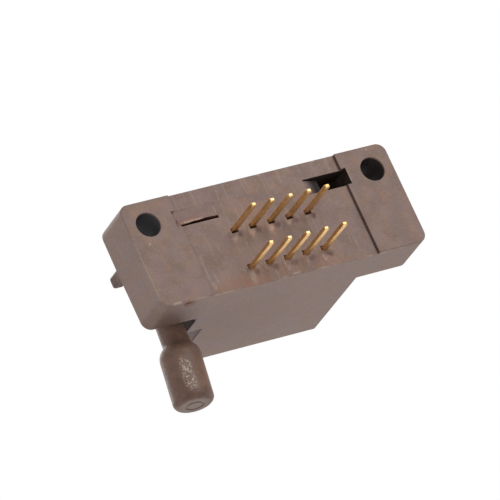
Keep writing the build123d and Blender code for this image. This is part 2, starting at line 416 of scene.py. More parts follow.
@dataclass(frozen=True)
class Coat:
    """A material in the making: its nodes, its shader and its coordinate in millimetres."""

    material: bpy.types.Material
    groups: Groups
    sketch: Sketch
    shader: bpy.types.Node
    point: Socket

    @classmethod
    def start(cls, name: str, groups: Groups) -> "Coat":
        """Make a material with its shader and a coordinate in millimetres.

        Args:
            name: The material's name.
            groups: The shared node groups.

        Returns:
            The material in the making.
        """
        material = bpy.data.materials.new(name)
        material.use_nodes = True
        material.node_tree.nodes.clear()
        sketch = Sketch(material.node_tree)
        shader = sketch.node("ShaderNodeBsdfPrincipled")
        sketch.node("ShaderNodeOutputMaterial", {"Surface": shader.outputs[0]})
        metres = sketch.node("ShaderNodeTexCoord").outputs["Object"]
        scale = (1 / MM, 1 / MM, 1 / MM)
        point = sketch.node("ShaderNodeMapping", {"Vector": metres, "Scale": scale}).outputs[0]
        return cls(material, groups, sketch, shader, point)

    def mask(self, group: SharedGroup, point: Socket | None = None, **inputs: Value) -> Socket:
        """Place a shared group, at the coordinate or at a point given instead, and give its mask."""
        return group.place(self.sketch, self.point if point is None else point, **inputs)["Mask"]

    def spot(self, mark: Mark, point: Socket | None = None) -> Socket:
        """Give how strongly an oval mark covers each place."""
        spot = self.mask(self.groups.spot, point, Centre=mark.centre, Half=mark.half,
                         Soft=mark.soft, Ragged=mark.ragged)
        return self.sketch.product(spot, mark.strength)

    def tint(self, colour: Socket, strength: Value, written: Colour) -> Socket:
        """Mix a written colour into the colour so far."""
        return self.sketch.mix(strength, colour, linear(written))

    def finish(self, colour: Socket, rough: Socket, height: Socket, depth: float) -> bpy.types.Material:
        """Feed the shader and give the material.

        Args:
            colour: The base colour.
            rough: The roughness.
            height: The height of the bump.
            depth: How deep the bump is, in millimetres.

        Returns:
            The finished material.
        """
        inputs = {"Height": height, "Distance": depth * MM, "Strength": 1.0}
        bump = self.sketch.node("ShaderNodeBump", inputs)
        self.sketch.feed(self.shader.inputs["Base Color"], colour)
        self.sketch.feed(self.shader.inputs["Roughness"], rough)
        self.sketch.feed(self.shader.inputs["Normal"], bump.outputs[0])
        return self.material


@dataclass(frozen=True)
class Bore:
    """A round hole along Z: its centre in millimetres, the painted shade of its wall and where that
    begins.
    """

    centre: Place
    wall: Colour
    radius: float = 1.62
    half_length: float = 1000.0
    soft: float = 0.01
    mouth: Span = (0.06, 0.4)
    strength: float = 0.9

    def mask(self, coat: Coat) -> Socket:
        """Mask the wall of the hole, from just inside its mouth, for its painted shade.

        Args:
            coat: The material in the making.

        Returns:
            The mask.
        """
        half = (self.radius, self.radius, self.half_length)
        inside = coat.mask(coat.groups.spot, Centre=self.centre, Half=half, Soft=self.soft, Ragged=0.0)
        above = coat.sketch.ramp(coat.sketch.split(coat.point)[2], *self.mouth)
        return coat.sketch.product(inside, above, self.strength)


@dataclass(frozen=True)
class Patches:
    """Patches cut from noise: their number per millimetre, their detail, and where the mask is 0 and 1."""

    per_mm: float
    detail: float
    zero_at: float
    one_at: float

    def mask(self, coat: Coat) -> Socket:
        """Mask the patches."""
        uneven = coat.sketch.noise(coat.point, self.per_mm, self.detail)
        return coat.sketch.ramp(uneven, self.zero_at, self.one_at)


@dataclass(frozen=True)
class BoardFace:
    """The marks that handling and soldering left on the face that meets the board, with painted shadows
    and reflections beside the tails.
    """

    depth: float = 0.4
    skin: float = 0.02
    fade: float = 0.04
    half_length: float = 11.55
    end_fade: float = 0.5
    front: float = -10.45
    calm: float = 0.4
    calm_beyond: Span = (0.5, 0.1)
    scratch_strength: float = 0.24
    stain: Patches = Patches(0.6, 4.0, 0.3, 0.75)
    stain_width: Span = (3.2, 0.3)
    stain_half_length: Span = (11.2, 7.0)
    stain_strength: float = 0.5
    rim_width: float = 0.22
    rim_strength: float = 0.85
    step_width: float = 0.1
    step_soft: float = 0.06
    step_strength: float = 0.62
    past_front: float = 1.0
    below_board: float = 0.1
    # A painted reflection of the gold tail and a painted shadow of the tail beside each foot
    tail_reflection: Mark = Mark(Tone.PAINTED_REFLECTION, (0.42, -0.72, 0.0), (0.36, 0.66, 1.0), 1.0, soft=0.7, ragged=0.6)
    tail_shadow: Mark = Mark(Tone.GRIME_AND_SHADE, (-0.55, -0.72, 0.0), (0.38, 0.38, 1.0), 0.85, soft=0.7)
    changes: Patches = Patches(0.8, 2.0, 0.3, 0.62)
    fading: float = 0.45
    shifts_per_mm: float = 1.1
    tail_mark_shift: float = 0.7

    def handled(self, coat: Coat) -> Socket:
        """Give the strength of the mottle: full on this face, calmer on the moulding's other faces.

        Args:
            coat: The material in the making.

        Returns:
            The strength.
        """
        none_at, full_at = self.calm_beyond
        height = coat.sketch.split(coat.point)[2]
        on_face = coat.sketch.ramp(height, self.depth + none_at, self.depth + full_at)
        return coat.sketch.math("MULTIPLY_ADD", on_face, 1.0 - self.calm, self.calm)

    def apply(self, coat: Coat, finish: "MouldedPlastic", colour: Socket) -> Socket:
        """Add scratches, the stain by the front edge, painted shadows and reflections beside the tails,
        the worn rim and a darker step wall.

        Args:
            coat: The material in the making.
            finish: The plastic that the face is made of.
            colour: The colour so far.

        Returns:
            The worn colour.
        """
        sketch = coat.sketch
        x, y, z = sketch.split(coat.point)
        along = sketch.math("ABSOLUTE", x)
        from_front = sketch.math("SUBTRACT", y, self.front)
        from_face = sketch.math("ABSOLUTE", sketch.math("SUBTRACT", z, self.depth))
        on_face = sketch.ramp(z, self.depth + self.skin + self.fade, self.depth + self.skin)
        between = sketch.ramp(along, self.half_length, self.half_length - self.end_fade)
        scratches = coat.mask(coat.groups.scratches)
        strength = sketch.product(scratches, on_face, between, self.scratch_strength)
        colour = coat.tint(colour, strength, finish.light)
        by_front = sketch.ramp(from_front, *self.stain_width)
        inner = sketch.ramp(along, *self.stain_half_length)
        strength = sketch.product(by_front, self.stain.mask(coat), inner, on_face, self.stain_strength)
        colour = coat.tint(colour, strength, finish.warm)
        colour = self.tail_shadows_and_reflections(coat, finish, colour)
        from_rim = sketch.math("ADD", sketch.math("ABSOLUTE", from_front), from_face)
        wear = coat.mask(coat.groups.wear, Distance=from_rim, Width=self.rim_width)
        colour = coat.tint(colour, sketch.product(wear, self.rim_strength), finish.light)
        # The step wall is drawn darker
        step = coat.mask(
            coat.groups.zone,
            Low=(-self.half_length - self.step_width, self.front - self.past_front, self.step_soft),
            High=(-self.half_length + self.step_width / 2, -self.front, self.depth + self.skin),
            Soft=self.step_soft,
        )
        return coat.tint(colour, sketch.product(step, self.step_strength), finish.dark)

    def tail_shadows_and_reflections(self, coat: Coat, finish: "MouldedPlastic", colour: Socket) -> Socket:
        """Add a painted reflection of the gold tail and a painted shadow of the tail beside each tail's
        foot.

        Args:
            coat: The material in the making.
            finish: The plastic that the face is made of.
            colour: The colour so far.

        Returns:
            The marked colour.
        """
        sketch = coat.sketch
        x, y, z = sketch.split(coat.point)
        half_pitch = GRID.pitch / 2
        half_spacing = GRID.row_spacing / 2
        front_row = GRID.lead_y - half_spacing
        shift = sketch.math("SUBTRACT", sketch.noise(coat.point, self.shifts_per_mm), MIDDLE)
        in_pitch = sketch.math("WRAP", x, half_pitch, -half_pitch)
        from_foot = sketch.join(
            sketch.math("MULTIPLY_ADD", shift, self.tail_mark_shift, in_pitch),
            sketch.math("WRAP", sketch.math("SUBTRACT", y, front_row), half_spacing, -half_spacing),
            sketch.math("SUBTRACT", z, self.depth),
        )
        half_rows = half_pitch * GRID.per_row
        back = front_row + GRID.row_spacing + half_spacing
        by_tails = coat.mask(
            coat.groups.zone, Low=(-half_rows, self.front, -self.below_board),
            High=(half_rows, back, self.depth + self.skin), Soft=self.skin,
        )
        changes = self.changes.mask(coat)
        pale = sketch.product(coat.spot(self.tail_reflection, from_foot), by_tails, changes)
        colour = coat.tint(colour, pale, finish.colour_of(self.tail_reflection.tone))
        faded = sketch.math("MULTIPLY_ADD", changes, -self.fading, 1.0)
        dark = sketch.product(coat.spot(self.tail_shadow, from_foot), by_tails, faded)
        return coat.tint(colour, dark, finish.colour_of(self.tail_shadow.tone))


@dataclass(frozen=True)
class MouldedPlastic:
    """A brown moulded plastic with grain and mottle, its marks, some of them painted light and shade, and
    painted shade in its recesses.
    """

    name: str
    base: Colour
    shade: Colour
    light: Colour
    warm: Colour
    roughness: float
    grain_per_mm: float
    grain_depth: float
    speck: float = 0.3
    specular: float = 0.2
    # Colour of grime and of painted shade
    dirt_and_shade: Colour = (84, 56, 50)
    # Colour of painted shade in recesses, of painted shadow lines and of the darker step
    dark: Colour = (24, 21, 21)
    # Colour of the painted glints
    bright: Colour = (206, 192, 182)
    # Colour of the painted reflection beside the tails
    pale: Colour = (206, 172, 158)
    cool: Colour = (141, 122, 125)
    cool_patches: Patches = Patches(0.62, 4.0, 0.58, 0.4)
    cool_strength: float = 0.38
    blush_patches: Patches = Patches(0.75, 3.0, 0.45, 0.72)
    blush: float = 0.3
    mottle_per_mm: float = 0.42
    mottle_between: Span = (0.32, 0.68)
    speck_between: Span = (0.45, 0.75)
    # Patches that break the painted glints into specks
    glint_patches: Patches = Patches(4.4, 1.0, 0.42, 0.66)
    roughness_spread: float = 0.12
    marks: tuple[Mark, ...] = ()
    recesses: tuple[ShadedZone, ...] = ()
    holes: tuple[Bore, ...] = ()
    board_face: BoardFace | None = None

    def build(self, groups: Groups) -> bpy.types.Material:
        """Build the material.

        Args:
            groups: The shared node groups.

        Returns:
            The finished material.
        """
        coat = Coat.start(self.name, groups)
        sketch = coat.sketch
        grain = groups.grain.place(sketch, coat.point, Grain_per_mm=self.grain_per_mm,
                                   Mottle_per_mm=self.mottle_per_mm)
        handled = self.board_face.handled(coat) if self.board_face else 1.0
        mottle = sketch.math("SUBTRACT", sketch.ramp(grain["Mottle"], *self.mottle_between), MIDDLE)
        mottle = sketch.math("MULTIPLY_ADD", mottle, handled, MIDDLE)
        colour = sketch.mix(mottle, linear(self.shade), linear(self.base))
        blush = sketch.product(self.blush_patches.mask(coat), handled, self.blush)
        colour = coat.tint(colour, blush, self.warm)
        cool = sketch.product(self.cool_patches.mask(coat), self.cool_strength)
        colour = coat.tint(colour, cool, self.cool)
        speck = sketch.product(sketch.ramp(grain["Grain"], *self.speck_between), self.speck)
        colour = coat.tint(colour, speck, self.light)
        if self.board_face:
            colour = self.board_face.apply(coat, self, colour)
        for mark in self.marks:
            colour = self.marked(coat, mark, colour)
        # Painted shade on the walls of the holes
        for bore in self.holes:
            colour = coat.tint(colour, bore.mask(coat), bore.wall)
        least = self.roughness - self.roughness_spread / 2
        rough = sketch.math("MULTIPLY_ADD", grain["Mottle"], self.roughness_spread, least)
        # Painted shade in the recesses
        hidden = self.hidden(coat)
        if hidden is not None:
            colour = coat.tint(colour, hidden, self.dark)
            rough = sketch.math("MAXIMUM", rough, hidden)
        coat.shader.inputs["Specular IOR Level"].default_value = self.specular
        return coat.finish(colour, rough, grain["Height"], self.grain_depth)

    def marked(self, coat: Coat, mark: Mark, colour: Socket) -> Socket:
        """Lay one mark over the colour.

        Args:
            coat: The material in the making.
            mark: The mark.
            colour: The colour so far.

        Returns:
            The marked colour.
        """
        strength = coat.spot(mark)
        # Painted glints come in specks
        if mark.tone is Tone.PAINTED_GLINTS:
            strength = coat.sketch.product(strength, self.glint_patches.mask(coat))
        return coat.tint(colour, strength, self.colour_of(mark.tone))

    def colour_of(self, tone: Tone) -> Colour:
        """Give the colour that a tone has on this plastic."""
        tones = {Tone.LIGHT: self.light, Tone.DARK: self.dark, Tone.GRIME_AND_SHADE: self.dirt_and_shade,
                 Tone.WARM: self.warm, Tone.PAINTED_GLINTS: self.bright, Tone.PAINTED_REFLECTION: self.pale}
        return tones[tone]

    def hidden(self, coat: Coat) -> Socket | None:
        """Mask the walls of the recesses and the other zones that are painted with shade.

        Args:
            coat: The material in the making.

        Returns:
            The mask, or nothing where the moulding has no recess.
        """
        result = None
        for recess in self.recesses:
            inside = coat.mask(coat.groups.zone, Low=recess.low, High=recess.high, Soft=recess.soft)
            painted_shade = coat.sketch.product(inside, recess.strength)
            result = painted_shade if result is None else coat.sketch.math("MAXIMUM", result, painted_shade)
        return result


@dataclass(frozen=True)
class PlatedMetal:
    """A bare or plated metal with a drawn or ground grain."""

    name: str
    bright: Colour
    dull: Colour
    roughness: float
    grain_per_mm: float
    grain_depth: float
    mottle_per_mm: float = 1.2
    tone_between: Span = (0.35, 0.65)
    roughness_spread: float = 0.1

    def build(self, groups: Groups) -> bpy.types.Material:
        """Build the material.

        Args:
            groups: The shared node groups.

        Returns:
            The finished material.
        """
        coat = Coat.start(self.name, groups)
        sketch = coat.sketch
        grain = groups.grain.place(sketch, coat.point, Grain_per_mm=self.grain_per_mm,
                                   Mottle_per_mm=self.mottle_per_mm)
        tone = sketch.ramp(grain["Mottle"], *self.tone_between)
        colour = sketch.mix(tone, linear(self.dull), linear(self.bright))
        least = self.roughness - self.roughness_spread / 2
        rough = sketch.math("MULTIPLY_ADD", grain["Grain"], self.roughness_spread, least)
        coat.shader.inputs["Metallic"].default_value = 1.0
        return coat.finish(colour, rough, grain["Grain"], self.grain_depth)


HOUSING_MARKS = (
    Mark(Tone.LIGHT, (16.45, -10.42, 0.03), (0.65, 0.2, 0.2), 0.95, ragged=0.3),
    Mark(Tone.LIGHT, (13.3, -10.45, 0.05), (1.15, 0.12, 0.12), 0.7),
    Mark(Tone.LIGHT, (9.6, -10.45, 0.42), (1.7, 0.1, 0.1), 0.45),
    Mark(Tone.LIGHT, (-0.1, -10.2, 0.4), (0.5, 0.13, 0.2), 0.75),
    Mark(Tone.LIGHT, (-4.1, -10.45, 0.4), (0.7, 0.12, 0.12), 0.75),
    Mark(Tone.LIGHT, (-1.0, 2.95, 0.4), (0.35, 0.12, 0.2), 0.7),
    Mark(Tone.LIGHT, (-8.6, 2.95, 0.4), (0.3, 0.12, 0.2), 0.7),
    Mark(Tone.LIGHT, (16.5, -2.4, 0.0), (0.12, 0.16, 0.3), 0.9),
    Mark(Tone.LIGHT, (-15.9, 2.6, 0.0), (0.16, 0.13, 0.3), 0.8),
    Mark(Tone.LIGHT, (10.9, -7.2, 0.4), (0.16, 2.7, 0.3), 0.3, ragged=1.0),
    Mark(Tone.LIGHT, (10.7, -9.3, 0.4), (0.3, 0.5, 0.3), 0.4, ragged=1.0),
    Mark(Tone.WARM, (14.5, -10.45, 0.9), (0.9, 0.5, 0.75), 0.9, ragged=0.3),
    # Painted shadow under the upper lip of the chip
    Mark(Tone.DARK, (14.6, -10.45, 0.3), (0.6, 0.2, 0.07), 0.6),
    Mark(Tone.WARM, (7.4, -9.8, 0.4), (3.0, 0.8, 0.4), 0.48, soft=0.8),
    Mark(Tone.LIGHT, (5.4, -9.2, 0.4), (0.35, 0.9, 0.3), 0.6, soft=0.7),
    # Painted highlights on the edge at the open slot's outer end and along the end rim, and painted light
    # over the shadow in the pit by the wedge
    Mark(Tone.LIGHT, (-12.22, -0.05, 0.0), (0.09, 1.0, 0.12), 0.7),
    Mark(Tone.LIGHT, (18.42, -6.0, 0.02), (0.12, 4.8, 0.12), 0.5, ragged=0.6),
    Mark(Tone.LIGHT, (11.9, 0.95, 0.2), (0.45, 0.14, 0.35), 0.5, ragged=0.2),
    Mark(Tone.GRIME_AND_SHADE, (14.3, -10.45, 1.0), (0.85, 0.5, 0.75), 0.4, ragged=0.3),
    # Painted shade: on the front face beside the lever, over the body's front face towards the lever, and
    # on the nub beside the ear
    Mark(Tone.GRIME_AND_SHADE, (16.0, -10.45, 5.8), (3.2, 1.2, 3.2), 0.4, soft=0.9),
    Mark(Tone.GRIME_AND_SHADE, (5.5, -10.45, 10.5), (7.5, 1.2, 7.5), 0.16, soft=0.9),
    Mark(Tone.GRIME_AND_SHADE, (18.2, -2.8, 8.2), (1.5, 1.5, 1.7), 0.75, soft=0.6),
)
# Painted shade in the slots, the pocket and the open slot, and beside the lever
HOUSING_RECESSES = (
    ShadedZone((-12.2, -1.13, 0.55), (12.2, 0.98, 3.4), soft=0.1),
    ShadedZone((-8.75, -9.15, 0.9), (7.9, -1.4, 18.1), soft=0.2),
    ShadedZone((-8.75, -9.15, 3.6), (7.9, 1.05, 18.1)),
    ShadedZone((-12.4, -1.13, 0.06), (-11.9, 0.98, 0.7), soft=0.05),
    # These two aren't recesses: they darken a stretch of the flat end walls beside the lever as painted
    # shadow
    ShadedZone((10.9, -10.41, 7.0), (11.5, -8.8, 11.0), soft=0.05, strength=0.88),
    ShadedZone((8.9, -10.41, 10.0), (9.3, -8.8, 15.0), soft=0.05, strength=0.52),
)
HOUSING_CRISP = (
    Box((-12.4, -9.3, 0.3), (12.4, 1.2, 5.0)),
    Box((8.5, -10.6, 9.9), (11.4, 3.2, 10.1)),
)
HOUSING_FINISH = MouldedPlastic(
    "brown_housing",
    base=(152, 127, 116), shade=(134, 112, 101), light=(182, 160, 148), warm=(166, 126, 106),
    roughness=0.55, grain_per_mm=3.6, grain_depth=0.02, speck=0.22, dark=(30, 20, 17),
    marks=HOUSING_MARKS, recesses=HOUSING_RECESSES, board_face=BoardFace(),
    # Painted shade on the hole walls, lighter in the hole on the lever's side
    holes=(Bore((15.6, 0.0, 0.0), (79, 79, 85)), Bore((-15.6, 0.0, 0.0), (36, 34, 33))),
)
COVER_FINISH = MouldedPlastic(
    "brown_cover",
    base=(143, 121, 112), shade=(133, 112, 104), light=(172, 152, 141), warm=(152, 112, 90),
    roughness=0.55, grain_per_mm=4.5, grain_depth=0.02, dark=(52, 48, 48),
    # Painted shade in the cover's hollow and on the end of its leg
    recesses=(
        ShadedZone((-9.0, -9.5, 1.9), (9.0, 1.2, 18.1)),
        ShadedZone((-9.2, -2.0, 0.3), (-7.9, 2.0, 2.2), soft=1.6, strength=0.95),
    ),
)
WEDGE_FINISH = MouldedPlastic(
    "brown_wedge",
    base=(154, 128, 117), shade=(132, 110, 99), light=(190, 160, 146), warm=(160, 112, 88),
    roughness=0.55, grain_per_mm=3.6, grain_depth=0.02, speck=0.2, dark=(84, 48, 36),
    marks=(
        Mark(Tone.WARM, (9.9, -0.6, 0.38), (1.6, 0.45, 0.3), 0.4, soft=0.8),
        # Painted highlights along the crushed front edge and at the inner end
        Mark(Tone.LIGHT, (9.7, -0.66, 0.38), (1.7, 0.16, 0.2), 0.85, ragged=0.8),
        Mark(Tone.LIGHT, (6.3, 0.0, 0.43), (0.12, 0.6, 0.3), 0.6),
        # Painted shadow line at the outer end, beside the pad's edge
        Mark(Tone.DARK, (11.74, -0.38, 0.4), (0.09, 0.3, 0.3), 0.8, ragged=0.2),
    ),
    # Painted shade on the walls below the wedge's face
    recesses=(ShadedZone((6.0, -1.2, 0.54), (12.4, 1.2, 3.5), soft=0.06, strength=0.95),),
)
LEVER_FINISH = MouldedPlastic(
    "brown_lever",
    base=(126, 101, 88), shade=(112, 88, 76), light=(146, 122, 110), warm=(156, 112, 86),
    roughness=0.4, grain_per_mm=3.0, grain_depth=0.05, speck=0.2, blush=0.35, cool=(114, 93, 88),
    marks=(
        Mark(Tone.WARM, (13.6, -16.6, 6.4), (0.7, 2.4, 1.4), 0.12, soft=0.7),
        # Painted shade on the handle's darker side
        Mark(Tone.GRIME_AND_SHADE, (17.4, -16.6, 7.2), (1.3, 3.4, 2.2), 0.2, soft=0.8),
        # Painted highlight along the handle's streak, with painted glints in specks
        Mark(Tone.LIGHT, (15.5, -16.9, 6.15), (0.7, 2.1, 0.8), 0.4, soft=0.7),
        Mark(Tone.PAINTED_GLINTS, (15.3, -15.7, 6.15), (0.6, 1.0, 0.7), 0.75, soft=0.5, ragged=0.3),
        Mark(Tone.PAINTED_GLINTS, (15.6, -17.6, 6.15), (0.62, 1.4, 0.7), 0.75, soft=0.5, ragged=0.3),
        # Painted light over the groove of the ring on the handle's end
        Mark(Tone.LIGHT, (15.12, -20.1, 8.4), (1.4, 0.25, 1.4), 0.25),
        # Painted shade at the neck under the flange, near the handle's end and on its end face
        Mark(Tone.GRIME_AND_SHADE, (15.0, -12.3, 7.0), (3.0, 1.2, 2.5), 0.3, soft=0.8),
        Mark(Tone.GRIME_AND_SHADE, (15.0, -19.3, 6.0), (2.5, 0.5, 1.5), 0.35, soft=0.6),
        Mark(Tone.GRIME_AND_SHADE, (15.12, -20.3, 8.4), (2.6, 0.3, 2.6), 0.16, soft=0.6),
    ),
)
CONTACT_FINISH = PlatedMetal(
    "gold_plate", bright=(238, 200, 142), dull=(222, 180, 118),
    roughness=0.37, grain_per_mm=5.0, grain_depth=0.002,
)
SHAFT_FINISH = PlatedMetal(
    "ground_steel", bright=(178, 178, 174), dull=(150, 150, 146),
    roughness=0.34, grain_per_mm=6.0, grain_depth=0.006,
)


def deselect() -> None:
    """Deselect every object."""
    bpy.ops.object.select_all(action="DESELECT")


def choose(piece: bpy.types.Object) -> None:
    """Select one piece alone and make it active.

    Args:
        piece: The object.
    """
    deselect()
    piece.select_set(True)
    bpy.context.view_layer.objects.active = piece


def pick_faces(piece: bpy.types.Object, wanted: Callable[[Vector, Vector], bool]) -> None:
    """Select the faces of the piece in edit mode that a test accepts.

    Args:
        piece: The object in edit mode.
        wanted: A test of a face's centre and normal.
    """
    bpy.ops.mesh.select_mode(type="FACE")
    bpy.ops.mesh.select_all(action="DESELECT")
    bpy.ops.object.mode_set(mode="OBJECT")
    for face in piece.data.polygons:
        face.select = wanted(face.center, face.normal)
    bpy.ops.object.mode_set(mode="EDIT")


def pick_ridges(piece: bpy.types.Object, sharp_above: float, wanted: Callable[[Vector], bool]) -> int:
    """Select the sharp outward edges of the piece in edit mode that a test accepts.

    Args:
        piece: The object in edit mode.
        sharp_above: The least turn between an edge's two faces, in degrees.
        wanted: A test of an edge's middle, in metres.

    Returns:
        How many edges are selected.
    """
    bpy.ops.mesh.select_mode(type="EDGE")
    bpy.ops.object.mode_set(mode="OBJECT")
    mesh = piece.data
    sides: dict[tuple[int, int], list[bpy.types.MeshPolygon]] = {}
    for face in mesh.polygons:
        for key in face.edge_keys:
            sides.setdefault(key, []).append(face)
    kept = []
    for edge in mesh.edges:
        first, second = sides[edge.key]
        start, end = (mesh.vertices[index].co for index in edge.vertices)
        middle = (start + end) / 2
        sharp = first.normal.angle(second.normal, 0.0) > math.radians(sharp_above)
        ridge = mesh_side(mesh, second, edge).dot(first.normal) < 0
        kept.append(sharp and ridge and wanted(middle))
    for items in (mesh.vertices, mesh.polygons):
        items.foreach_set("select", [False] * len(items))
    mesh.edges.foreach_set("select", kept)
    bpy.ops.object.mode_set(mode="EDIT")
    return sum(kept)


def mesh_side(mesh: bpy.types.Mesh, face: bpy.types.MeshPolygon, edge: bpy.types.MeshEdge) -> Vector:
    """Give the direction in which a face leaves one of its edges.

    Args:
        mesh: The mesh that both are in.
        face: The face.
        edge: One of its edges.

    Returns:
        A vector in the face, square to the edge, pointing into the face.
    """
    start, end = edge.vertices
    corners_of = list(face.vertices)
    forward = corners_of[(corners_of.index(start) + 1) % len(corners_of)] == end
    along = mesh.vertices[end].co - mesh.vertices[start].co
    return face.normal.cross(along if forward else -along).normalized()


def add_modifier(piece: bpy.types.Object, kind: str, **settings: Any) -> None:
    """Add a modifier to the piece and apply it.

    Args:
        piece: The object, in object mode.
        kind: The modifier's type name.
        settings: Properties of the modifier.
    """
    bpy.context.view_layer.objects.active = piece
    made = piece.modifiers.new(kind.lower(), kind)
    for name, value in settings.items():
        setattr(made, name, value)
    bpy.ops.object.modifier_apply(modifier=made.name)


def new_cube(name: str, low: Vector, high: Vector) -> bpy.types.Object:
    """Add a cube primitive between two corners, left in edit mode.

    Args:
        name: The object's name.
        low: The lowest corner, in metres.
        high: The highest corner, in metres.

    Returns:
        The object, active and in edit mode.
    """
    deselect()
    bpy.ops.mesh.primitive_cube_add(size=1.0, location=(low + high) / 2)
    piece = bpy.context.active_object
    piece.name = name
    piece.scale = high - low
    bpy.ops.object.transform_apply(location=True, rotation=True, scale=True)
    bpy.ops.object.mode_set(mode="EDIT")
    return piece


def dress(piece: bpy.types.Object, material: bpy.types.Material, smooth_angle: float) -> None:
    """Smooth a finished piece, keep its flat faces flat and give it its material.

    Args:
        piece: The finished object, with its place in its mesh.
        material: Its material.
        smooth_angle: The largest angle in degrees that is shaded smooth.
    """
    choose(piece)
    bpy.ops.object.shade_smooth_by_angle(angle=math.radians(smooth_angle))
    add_modifier(piece, "WEIGHTED_NORMAL", keep_sharp=True)
    piece.data.materials.clear()
    piece.data.materials.append(material)


@dataclass(frozen=True)
class Moulding:
    """A moulded node, copied so that its sharp edges can be rounded as a mould leaves them."""

    node: str
    body: str
    slot: Slot
    edge_round: float
    crisp: tuple[Box, ...] = ()
    round_segments: int = 2
    merge_within: float = 0.002
    flat_within: float = 0.6
    sharp_above: float = 50.0
    smooth_angle: float = 50.0

    def build(self, material: bpy.types.Material) -> None:
        """Copy the node, merge its triangles into faces, round its edges and dress it.

        Args:
            material: The moulding's finish.
        """
        piece = bpy.data.objects.new(f"moulded_{self.node}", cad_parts[self.node].data.copy())
        bpy.context.collection.objects.link(piece)
        choose(piece)
        bpy.ops.object.mode_set(mode="EDIT")
        bpy.ops.mesh.select_all(action="SELECT")
        bpy.ops.mesh.remove_doubles(threshold=self.merge_within * MM)
        bpy.ops.mesh.dissolve_limited(angle_limit=math.radians(self.flat_within))
        rounded = pick_ridges(piece, self.sharp_above,
                              lambda middle: not any(box.holds(middle) for box in self.crisp))
        bpy.ops.mesh.bevel(offset=self.edge_round * MM, segments=self.round_segments,
                           affect="EDGES", clamp_overlap=False)
        bpy.ops.object.mode_set(mode="OBJECT")
        dress(piece, material, self.smooth_angle)
        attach(piece, self.body)
        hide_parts(self.node)
        log.info("%s: %d edges rounded, %d faces", piece.name, rounded, len(piece.data.polygons))


@dataclass(frozen=True)
class Wedge:
    """The wedge pressed into the slot beside the lever, with a crushed front edge."""

    node: str = "retaining_wedge"
    stem_length: float = 4.2
    head_height: float = 0.9
    side_clearance: float = 0.02
    steps: int = 44
    jammed_from: float = 11.4
    jammed_reach: float = 0.195
    chip_depth: float = 0.03
    bow_depth: float = 0.15
    ragged_depth: float = 0.2
    ragged_per_mm: float = 0.9
    near: float = 0.01
    front_round: float = 0.06
    round_segments: int = 2
    sharp_above: float = 50.0
    smooth_angle: float = 40.0

    def build(self, material: bpy.types.Material) -> None:
        """Model the head, its stem and its crushed edge, and dress them.

        Args:
            material: The wedge's finish.
        """
        low, high = (Vector(corner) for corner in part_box(self.node))
        aside = Vector((1.0, 0.0, 0.0)) * self.side_clearance * MM
        behind = Vector((0.0, 1.0, 0.0)) * self.side_clearance * MM
        top = Vector((high.x, high.y, low.z + self.head_height * MM))
        piece = new_cube("pressed_wedge", low - aside, top + aside + behind)
        bpy.ops.mesh.select_all(action="SELECT")
        stem_x = high.x - self.stem_length * MM
        bpy.ops.mesh.bisect(plane_co=(stem_x, 0.0, 0.0), plane_no=(1.0, 0.0, 0.0))
        pick_faces(piece, lambda centre, normal: normal.z > FACING and centre.x > stem_x)
        rise = (0.0, 0.0, high.z - top.z)
        bpy.ops.mesh.extrude_region_move(TRANSFORM_OT_translate={"value": rise})
        self.crush_front(piece, low)
        dress(piece, material, self.smooth_angle)
        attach(piece, "base")
        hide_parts(self.node)
        log.info("%s: %d faces", piece.name, len(piece.data.polygons))

    def crush_front(self, piece: bpy.types.Object, low: Vector) -> None:
        """Divide the front edge of the head, move its points in and out and round it.

        Args:
            piece: The wedge in edit mode.
            low: The lowest corner of the node.
        """
        near = self.near * MM
        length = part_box(self.node)[1][0] - low.x
        for step in range(1, self.steps):
            x = low.x + step * length / self.steps
            bpy.ops.mesh.select_all(action="SELECT")
            bpy.ops.mesh.bisect(plane_co=(x, 0.0, 0.0), plane_no=(1.0, 0.0, 0.0))
        bpy.ops.object.mode_set(mode="OBJECT")
        for point in piece.data.vertices:
            if abs(point.co.y - low.y) < near:
                where = Vector((point.co.x / MM * self.ragged_per_mm, point.co.z / MM, 0.0))
                bowed = math.sin(math.pi * (point.co.x - low.x) / length) * self.bow_depth
                chipped = self.chip_depth + bowed + noise.noise(where) * self.ragged_depth
                jammed = point.co.x > self.jammed_from * MM
                point.co.y += (-self.jammed_reach if jammed else chipped) * MM
        bpy.ops.object.mode_set(mode="EDIT")
        reach = (self.chip_depth + self.bow_depth + self.ragged_depth) * MM
        pick_ridges(piece, self.sharp_above,
                    lambda middle: abs(middle.y - low.y) < reach and middle.z - low.z < near)
        bpy.ops.mesh.bevel(offset=self.front_round * MM, segments=self.round_segments, affect="EDGES")
        bpy.ops.object.mode_set(mode="OBJECT")


@dataclass(frozen=True)
class Station:
    """A cross-section of a contact: its height, its distance from the leads and its two sizes."""

    height: float
    offset: float
    width: float
    thickness: float


